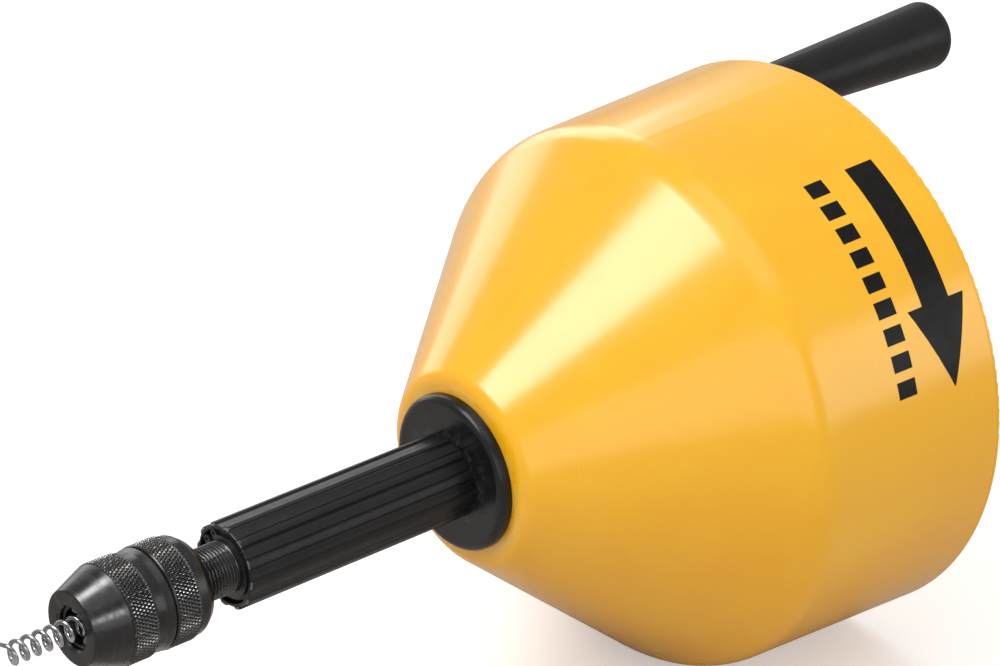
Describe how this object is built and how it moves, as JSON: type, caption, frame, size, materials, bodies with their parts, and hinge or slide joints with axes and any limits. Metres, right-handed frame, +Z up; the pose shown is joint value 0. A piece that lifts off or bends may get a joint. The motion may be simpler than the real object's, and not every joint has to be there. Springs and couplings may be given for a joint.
{
  "type": "drain snake machine",
  "caption": "Hand-cranked drain snake: a plastic drum turns on a spindle held by a ribbed grip, with a keyless chuck clamping the wire spiral and a free-turning crank handle.",
  "frame": {"origin": "middle of the hand grip, on the tool axis", "axes": "+X along the tool axis towards the drum and crank handle (the spiral's tip points to -X), +Z up"},
  "size_m": [0.4323, 0.194, 0.194],
  "materials": {
    "grip_rubber": "fine matte, ribbed",
    "bronze": "machined",
    "blackened_steel": "turned and blackened",
    "plain_steel": "zinc plated",
    "spring_steel": "phosphated",
    "hardened_steel": "ground",
    "bright_wire": "bright drawn wire",
    "black_flange": "satin",
    "black_plastic": "satin",
    "drum_yellow": "glossy moulded",
    "cover_yellow": "glossy moulded"
  },
  "bodies": {
    "grip": {"grip_sleeve": "grip_rubber", "front_bush": "bronze", "rear_bush": "bronze"},
    "drum": {"spindle_tube": "blackened_steel", "front_thrust_washer": "spring_steel", "rear_thrust_washer": "plain_steel", "retaining_ring": "spring_steel", "drum_flange": "black_flange", "flange_screws": "plain_steel", "backing_ring": "plain_steel", "spindle_nut": "plain_steel", "drum_shell": "drum_yellow", "rear_cover": "cover_yellow", "cover_screws": "plain_steel", "crank_axle": "plain_steel", "crank_washer": "plain_steel", "crank_nut_washer": "plain_steel", "crank_nut": "plain_steel", "chuck_body": "blackened_steel", "chuck_rear_sleeve": "blackened_steel", "spiral_coil": "bright_wire"},
    "chuck_sleeve": {"chuck_front_sleeve": "blackened_steel", "chuck_jaw_nut": "plain_steel"},
    "jaw_1": {"chuck_jaw_1": "hardened_steel"},
    "jaw_2": {"chuck_jaw_2": "hardened_steel"},
    "jaw_3": {"chuck_jaw_3": "hardened_steel"},
    "handle": {"crank_handle": "black_plastic"},
    "spiral": {"spiral_tip": "bright_wire", "spiral_run": "bright_wire"}
  },
  "joints": [
    {"name": "drum_spin", "type": "hinge", "parent": "grip", "child": "drum", "pos_m": [0, 0, 0], "axis": [1, 0, 0], "continuous": true},
    {"name": "handle_spin", "type": "hinge", "parent": "drum", "child": "handle", "pos_m": [0.25, 0.03937, 0.07044], "axis": [1, 0, 0], "continuous": true},
    {"name": "chuck_turn", "type": "hinge", "parent": "drum", "child": "chuck_sleeve", "pos_m": [-0.09, 0, 0], "axis": [1, 0, 0], "range_deg": [0, 1440]},
    {"name": "spiral_feed", "type": "slide", "parent": "drum", "child": "spiral", "axis": [-1, 0, 0], "range_m": [0, 0.06]},
    {"name": "jaw_1_slide", "type": "slide", "parent": "drum", "child": "jaw_1", "axis": [0.9781, 0, 0.2079], "range_m": [0, 0.0065]},
    {"name": "jaw_2_slide", "type": "slide", "parent": "drum", "child": "jaw_2", "axis": [0.9781, -0.1801, -0.104], "range_m": [0, 0.0065]},
    {"name": "jaw_3_slide", "type": "slide", "parent": "drum", "child": "jaw_3", "axis": [0.9781, 0.1801, -0.104], "range_m": [0, 0.0065]}
  ],
  "couplings": [
    {"joint": "jaw_1_slide", "follows": "chuck_turn", "m_per_rad": 0.00025863},
    {"joint": "jaw_2_slide", "follows": "chuck_turn", "m_per_rad": 0.00025863},
    {"joint": "jaw_3_slide", "follows": "chuck_turn", "m_per_rad": 0.00025863}
  ]
}
